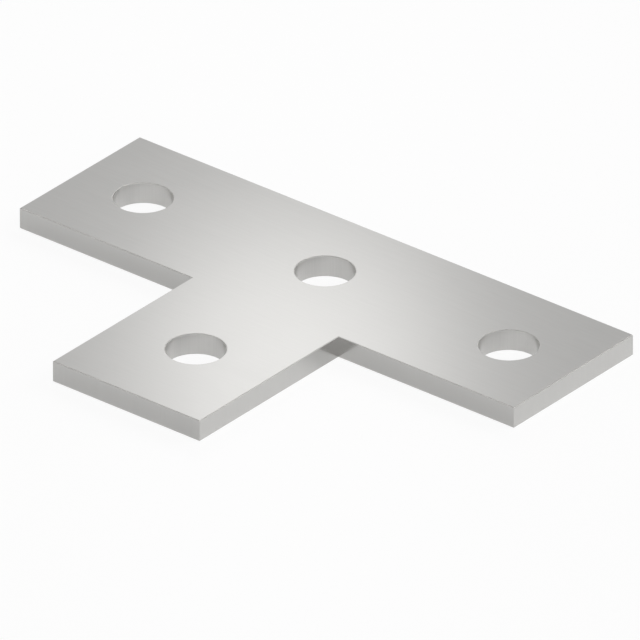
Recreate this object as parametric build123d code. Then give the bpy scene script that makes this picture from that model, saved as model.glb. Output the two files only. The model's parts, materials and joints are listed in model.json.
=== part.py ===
from build123d import *
import os

# Flat T plate bracket, cut from one piece of steel plate, in millimetres.
# It lies on its underside at Z = 0. The origin is on the axis of the centre hole,
# the bar of the T runs along X, and the stem points to -Y.

# Driving dimensions
thickness = 5.0
bar_width = 40.0
stem_width = 40.0
stem_length = 46.0  # from the bar's edge to the stem's free end
hole_diameter = 13.0  # clears a 12 mm bolt
bar_hole_pitch = 50.0  # from the centre hole to each outer hole of the bar
bar_end_distance = 17.5  # from an outer hole's axis to the bar's end
stem_end_distance = 23.0  # from the stem hole's axis to the stem's free end
edge_break = 0.15  # the deburred edge around both faces and round each hole

# Sizes that follow
bar_length = 2 * (bar_hole_pitch + bar_end_distance)
stem_tip = bar_width / 2 + stem_length  # from the centre hole to the stem's free end
stem_hole_offset = stem_tip - stem_end_distance


def hole_centres():
    """Where the four bolt holes are: three in a row along the bar and one in the stem."""
    along_bar = [(x, 0) for x in (-bar_hole_pitch, 0, bar_hole_pitch)]
    return along_bar + [(0, -stem_hole_offset)]


def tee_profile():
    """The T seen from above, with its holes. The bar and the stem meet in square corners."""
    with BuildSketch() as profile:
        Rectangle(bar_length, bar_width)
        Rectangle(stem_width, stem_tip, align=(Align.CENTER, Align.MAX))
        with Locations(*hole_centres()):
            Circle(hole_diameter / 2, mode=Mode.SUBTRACT)
    return profile.sketch


def tee_plate():
    """The plate at its full thickness, with the sharp edge taken off both of its faces.

    The upright corners between two cut edges stay sharp.
    """
    with BuildPart() as plate:
        add(tee_profile())
        extrude(amount=thickness)
        levels = plate.edges().group_by(Axis.Z)
        chamfer(levels[0] + levels[-1], length=edge_break)
    return plate.part


os.makedirs("parts", exist_ok=True)
export_step(tee_plate(), "parts/tee_plate.step")
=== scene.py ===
import json
import math

import bpy
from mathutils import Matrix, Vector


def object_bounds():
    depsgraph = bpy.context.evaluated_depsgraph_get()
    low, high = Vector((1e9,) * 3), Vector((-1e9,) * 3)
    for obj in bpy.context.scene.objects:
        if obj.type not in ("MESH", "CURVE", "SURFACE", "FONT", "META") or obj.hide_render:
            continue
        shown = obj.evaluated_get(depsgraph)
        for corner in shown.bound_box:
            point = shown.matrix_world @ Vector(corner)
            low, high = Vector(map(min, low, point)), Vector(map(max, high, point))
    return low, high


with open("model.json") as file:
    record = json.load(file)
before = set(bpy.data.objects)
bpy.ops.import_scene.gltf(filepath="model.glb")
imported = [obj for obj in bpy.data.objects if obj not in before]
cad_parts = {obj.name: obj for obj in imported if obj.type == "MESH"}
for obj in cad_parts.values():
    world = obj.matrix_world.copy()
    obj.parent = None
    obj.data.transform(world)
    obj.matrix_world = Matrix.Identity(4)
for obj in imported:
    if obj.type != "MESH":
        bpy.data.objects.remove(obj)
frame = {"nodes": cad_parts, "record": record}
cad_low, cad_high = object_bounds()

# Everything is in metres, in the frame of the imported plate: X along the bar of the T,
# the stem towards -Y, the underside on Z = 0. Angles are in degrees.
MM = 0.001

# Camera: a very long lens, because the photograph is a parallel view
IMAGE_PIXELS = 640
LENS_MM = 1350.0
SENSOR_MM = 36.0
CAMERA_AZIMUTH = 39.251  # from -Y towards +X
CAMERA_ELEVATION = 29.627
LOOK_AT = Vector((12.502, -16.965, 5.0)) * MM  # on the upper face, mid picture
PIXELS_PER_METRE = 4739.2
CLIP_NEAR = 0.01  # share of the camera's distance
CLIP_FAR = 4.0  # the same

# Room light, where 1 is white: an even sky with soft lights in it, above a nearly white horizon.
# Each soft light has an azimuth and an elevation, counted as the camera's are, a reach and a level.
SKY_LEVEL = 0.32
SOFT_LIGHTS = {
    "back": (219.0, 30.0, 38.5, 0.41),
    "key": (141.0, 33.0, 23.0, 4.5),
    "fill": (42.0, 55.5, 26.0, 5.0),
}
HORIZON_LEVEL = 0.975
HORIZON_TOP = 1.0  # up to this elevation there is only the horizon's light
SKY_START = 28.0  # and from this one only the sky's

# Floor: a smooth white board just under the plate
FLOOR_SIDE = 12.0
FLOOR_DROP = 0.01 * MM
FLOOR_ALBEDO = 0.78
FLOOR_ROUGHNESS = 0.37
FLOOR_WHITE_SEEN = 0.90  # share of the floor's look that is plain white, to the camera
FLOOR_WHITE_MIRRORED = 0.35  # and in a mirrored view

# The small round lamp close behind the plate, which the upper face mirrors softly
GLINT_PLACE = Vector((-82.6, 89.1, 114.5)) * MM
GLINT_AIM = Vector((16.5, -37.0, 5.0)) * MM
GLINT_WIDTH = 72.0 * MM
GLINT_POWER = 0.0195  # watts

# Steel: its colour, and how rough the rolled faces, cut walls, hole walls and broken edges are
STEEL = (0.55, 0.545, 0.533)
FACE_ROUGHNESS = 0.35
WALL_ROUGHNESS = 0.19
BORE_ROUGHNESS = 0.30
EDGE_ROUGHNESS = 1.0

# How many times as pale as the rest of the steel the hole walls and the broken edges are. On the
# hole walls this paleness is painted light that lifts the shade inside the holes; on the broken
# edges it is partly wear and partly painted light.
BORE_PAINTED_LIGHT = 1.15
EDGE_WEAR_AND_PAINTED_LIGHT = 1.25

# How flat the surface lies is 0 on a wall, 0.7 on a broken edge and 1 on a face. Each pair says
# where a finish starts to show and where it is the only one.
WALL_FLATNESS = (0.35, 0.25)
FACE_FLATNESS = (0.90, 0.96)
BORE_RIM = 0.5 * MM  # how far round a hole its finish may reach

# Detail: slow clouds, grain along the bar on the faces, and upright marks on the walls. Each tone
# and roughness here is how much it changes from one end of the noise to the other.
CLOUD_SIZE = 16.0 * MM
CLOUD_OCTAVES = 3.0
CLOUD_TONE = 0.03
CLOUD_ROUGHNESS = 0.03
FINE_OCTAVES = 2.0  # for the grain and the wall marks
GRAIN_LENGTH = 9.0 * MM
GRAIN_WIDTH = 0.30 * MM
GRAIN_TONE = 0.10
GRAIN_ROUGHNESS = 0.08
GRAIN_DEPTH = 0.0006 * MM
WALL_MARK_WIDTH = 0.35 * MM
WALL_MARK_LENGTH = 20.0 * MM
WALL_MARK_TONE = 0.10
WALL_MARK_ROUGHNESS = 0.06
WALL_MARK_DEPTH = 0.0012 * MM


def direction(azimuth, elevation):
    """The way from the object to a camera or light at this azimuth and elevation."""
    turn = math.radians(azimuth)
    rise = math.radians(elevation)
    level = math.cos(rise)
    return Vector((math.sin(turn) * level, -math.cos(turn) * level, math.sin(rise)))


def add_object(name, data):
    """A new object in the scene, with this data."""
    made = bpy.data.objects.new(name, data)
    bpy.context.scene.collection.objects.link(made)
    return made


def aim_along(thing, way):
    """Turn a camera or lamp so that it looks along this way."""
    thing.rotation_mode = "QUATERNION"
    thing.rotation_quaternion = way.to_track_quat("-Z", "Y")


def make_camera():
    """A camera in the photograph's direction, as far away as its lens needs."""
    data = bpy.data.cameras.new("camera")
    data.lens = LENS_MM
    data.sensor_width = SENSOR_MM
    distance = IMAGE_PIXELS * LENS_MM / SENSOR_MM / PIXELS_PER_METRE
    data.clip_start = distance * CLIP_NEAR
    data.clip_end = distance * CLIP_FAR
    camera = add_object("camera", data)
    back = direction(CAMERA_AZIMUTH, CAMERA_ELEVATION)
    camera.location = LOOK_AT + back * distance
    aim_along(camera, -back)
    bpy.context.scene.camera = camera


def make_lamp(name, place, aim, width, power):
    """A round lamp that shines towards a point, and that the camera doesn't see."""
    data = bpy.data.lights.new(name, "AREA")
    data.shape = "DISK"
    data.size = width
    data.energy = power
    lamp = add_object(name, data)
    lamp.location = place
    aim_along(lamp, aim - place)
    lamp.visible_camera = False


def add_node(tree, kind, inputs=(), **settings):
    """A new shader node. Each of its inputs is linked to a socket, or set to a value."""
    node = tree.nodes.new("ShaderNode" + kind)
    for name, value in settings.items():
        setattr(node, name, value)
    for name, value in dict(inputs).items():
        if isinstance(value, bpy.types.NodeSocket):
            tree.links.new(value, node.inputs[name])
        else:
            node.inputs[name].default_value = value
    return node


def calculate(tree, operation, first, second):
    """The result of one step of arithmetic."""
    return add_node(tree, "Math", {0: first, 1: second}, operation=operation).outputs[0]


def smooth_step(tree, value, start, end, low=0.0, high=1.0):
    """A smooth step from low to high while the value goes from start to end."""
    ends = {"Value": value, "From Min": start, "From Max": end, "To Min": low, "To Max": high}
    return add_node(tree, "MapRange", ends, interpolation_type="SMOOTHSTEP").outputs[0]


def blend(tree, share, first, second):
    """The first value where the share is 0, and the second where it is 1."""
    return add_node(tree, "Mix", {"Factor": share, "A": first, "B": second}).outputs[0]


def make_world():
    """A pale room: an even sky with broad soft lights in it, and nearly white at the horizon."""
    world = bpy.data.worlds.new("studio")
    bpy.context.scene.world = world
    world.use_nodes = True
    tree = world.node_tree
    way = add_node(tree, "TexCoord").outputs["Generated"]
    level = SKY_LEVEL
    for azimuth, elevation, reach, strength in SOFT_LIGHTS.values():
        middle = direction(azimuth, elevation)
        facing = add_node(tree, "VectorMath", {0: way, 1: middle}, operation="DOT_PRODUCT")
        edge = math.cos(math.radians(reach))
        light = smooth_step(tree, facing.outputs["Value"], edge, 1.0, 0.0, strength)
        level = calculate(tree, "ADD", level, light)
    height = add_node(tree, "SeparateXYZ", {0: way}).outputs["Z"]
    horizon_top = math.sin(math.radians(HORIZON_TOP))
    sky_start = math.sin(math.radians(SKY_START))
    in_sky = smooth_step(tree, height, horizon_top, sky_start)
    level = blend(tree, in_sky, HORIZON_LEVEL, level)
    background = tree.nodes["Background"]
    background.inputs["Color"].default_value = (1, 1, 1, 1)
    tree.links.new(level, background.inputs["Strength"])


def floor_material():
    """A smooth white board: it shows as nearly plain white, and keeps part of the shadow."""
    material = bpy.data.materials.new("floor")
    material.use_nodes = True
    tree = material.node_tree
    board = tree.nodes["Principled BSDF"]
    board.inputs["Base Color"].default_value = (FLOOR_ALBEDO,) * 3 + (1,)
    board.inputs["Roughness"].default_value = FLOOR_ROUGHNESS
    white = add_node(tree, "Emission")
    path = add_node(tree, "LightPath").outputs
    mirrored = calculate(tree, "MAXIMUM", path["Is Glossy Ray"], path["Is Transmission Ray"])
    seen_share = calculate(tree, "MULTIPLY", path["Is Camera Ray"], FLOOR_WHITE_SEEN)
    mirrored_share = calculate(tree, "MULTIPLY", mirrored, FLOOR_WHITE_MIRRORED)
    share = calculate(tree, "MAXIMUM", seen_share, mirrored_share)
    look = add_node(tree, "MixShader", {0: share, 1: board.outputs[0], 2: white.outputs[0]})
    tree.links.new(look.outputs[0], tree.nodes["Material Output"].inputs["Surface"])
    return material


def make_floor():
    """One large square, a hair below the plate so that the two never share a plane."""
    half = FLOOR_SIDE / 2
    z = cad_low.z - FLOOR_DROP
    mesh = bpy.data.meshes.new("floor")
    corners = [(-half, -half, z), (half, -half, z), (half, half, z), (-half, half, z)]
    mesh.from_pydata(corners, [], [(0, 1, 2, 3)])
    mesh.materials.append(floor_material())
    add_object("floor", mesh)


def stretched_noise(tree, place, size, octaves):
    """Noise from 0 to 1 whose blobs have this size along X, Y and Z."""
    scale = tuple(1 / length for length in size)
    stretched = add_node(tree, "VectorMath", {0: place, 1: scale}, operation="MULTIPLY")
    inputs = {"Vector": stretched.outputs[0], "Scale": 1.0, "Detail": octaves}
    return add_node(tree, "TexNoise", inputs).outputs["Fac"]


def swing(tree, noise, spread, middle=0.0):
    """A value around the middle that grows by the spread while the noise goes from 0 to 1."""
    inputs = {0: noise, 1: spread, 2: middle - spread / 2}
    return add_node(tree, "Math", inputs, operation="MULTIPLY_ADD").outputs[0]


def add_swing(tree, value, share, noise, spread):
    """The value with the noise's swing added to it, as far as the share says."""
    added = calculate(tree, "MULTIPLY", share, swing(tree, noise, spread))
    return calculate(tree, "ADD", value, added)


def bore_share(tree, place):
    """1 inside the plate's holes and close round them, and 0 elsewhere."""
    flat = add_node(tree, "VectorMath", {0: place, 1: (1, 1, 0)}, operation="MULTIPLY").outputs[0]
    share = 0.0
    for mount in frame["record"]["mounts"]:
        if mount["kind"] == "bore":
            x, y, _ = mount["pos_m"]
            away = add_node(tree, "VectorMath", {0: flat, 1: (x, y, 0)}, operation="DISTANCE")
            reach = mount["dims"]["r_mm"] * MM + BORE_RIM
            inside = calculate(tree, "LESS_THAN", away.outputs["Value"], reach)
            share = calculate(tree, "MAXIMUM", share, inside)
    return share


def surface_shares(tree, place):
    """How far the surface is a cut wall, a rolled face, a broken edge and a hole's wall."""
    normal = add_node(tree, "NewGeometry").outputs["True Normal"]
    upright = add_node(tree, "SeparateXYZ", {0: normal}).outputs["Z"]
    flatness = calculate(tree, "ABSOLUTE", upright, 0.0)
    on_wall = smooth_step(tree, flatness, *WALL_FLATNESS)
    on_face = smooth_step(tree, flatness, *FACE_FLATNESS)
    on_edge = calculate(tree, "SUBTRACT", 1.0, calculate(tree, "ADD", on_wall, on_face))
    on_bore = calculate(tree, "MULTIPLY", on_wall, bore_share(tree, place))
    return on_wall, on_face, on_edge, on_bore


def steel_material():
    """Satin plated steel: rolled faces with a faint grain along the bar, cut walls with faint
    upright marks, duller walls in the holes made paler as painted light against their shade,
    and a dull broken edge, paler partly as wear and partly as painted light."""
    material = bpy.data.materials.new("satin_steel")
    material.use_nodes = True
    tree = material.node_tree
    place = add_node(tree, "TexCoord").outputs["Object"]
    on_wall, on_face, on_edge, on_bore = surface_shares(tree, place)

    cloud_size = (CLOUD_SIZE, CLOUD_SIZE, CLOUD_SIZE)
    grain_size = (GRAIN_LENGTH, GRAIN_WIDTH, GRAIN_WIDTH)
    mark_size = (WALL_MARK_WIDTH, WALL_MARK_WIDTH, WALL_MARK_LENGTH)
    clouds = stretched_noise(tree, place, cloud_size, CLOUD_OCTAVES)
    grain = stretched_noise(tree, place, grain_size, FINE_OCTAVES)
    marks = stretched_noise(tree, place, mark_size, FINE_OCTAVES)

    tone = swing(tree, clouds, CLOUD_TONE, 1.0)
    tone = add_swing(tree, tone, on_face, grain, GRAIN_TONE)
    tone = add_swing(tree, tone, on_wall, marks, WALL_MARK_TONE)
    # The broken edges are made paler: partly wear, partly painted light standing in for a lamp
    tone = calculate(tree, "MULTIPLY", tone, blend(tree, on_edge, 1.0, EDGE_WEAR_AND_PAINTED_LIGHT))
    # The hole walls are made paler: painted light that lifts the shade inside the holes
    tone = calculate(tree, "MULTIPLY", tone, blend(tree, on_bore, 1.0, BORE_PAINTED_LIGHT))
    colour = add_node(tree, "VectorMath", {0: STEEL, "Scale": tone}, operation="SCALE")

    face_rough = swing(tree, grain, GRAIN_ROUGHNESS, FACE_ROUGHNESS)
    cut_rough = blend(tree, on_bore, WALL_ROUGHNESS, BORE_ROUGHNESS)
    wall_rough = calculate(tree, "ADD", cut_rough, swing(tree, marks, WALL_MARK_ROUGHNESS))
    rough = blend(tree, on_wall, face_rough, wall_rough)
    rough = blend(tree, on_edge, rough, EDGE_ROUGHNESS)
    rough = calculate(tree, "ADD", rough, swing(tree, clouds, CLOUD_ROUGHNESS))

    grain_inputs = {"Height": grain, "Strength": on_face, "Distance": GRAIN_DEPTH}
    grain_bump = add_node(tree, "Bump", grain_inputs)
    mark_inputs = {"Height": marks, "Strength": on_wall, "Distance": WALL_MARK_DEPTH}
    mark_bump = add_node(tree, "Bump", {**mark_inputs, "Normal": grain_bump.outputs[0]})

    shader = tree.nodes["Principled BSDF"]
    shader.inputs["Metallic"].default_value = 1.0
    tree.links.new(colour.outputs[0], shader.inputs["Base Color"])
    tree.links.new(rough, shader.inputs["Roughness"])
    tree.links.new(mark_bump.outputs[0], shader.inputs["Normal"])
    return material


make_camera()
make_world()
make_floor()
make_lamp("glint", GLINT_PLACE, GLINT_AIM, GLINT_WIDTH, GLINT_POWER)

plate = frame["nodes"]["tee_plate"]
plate.data.materials.clear()
plate.data.materials.append(steel_material())

bpy.context.scene.view_settings.view_transform = "Standard"
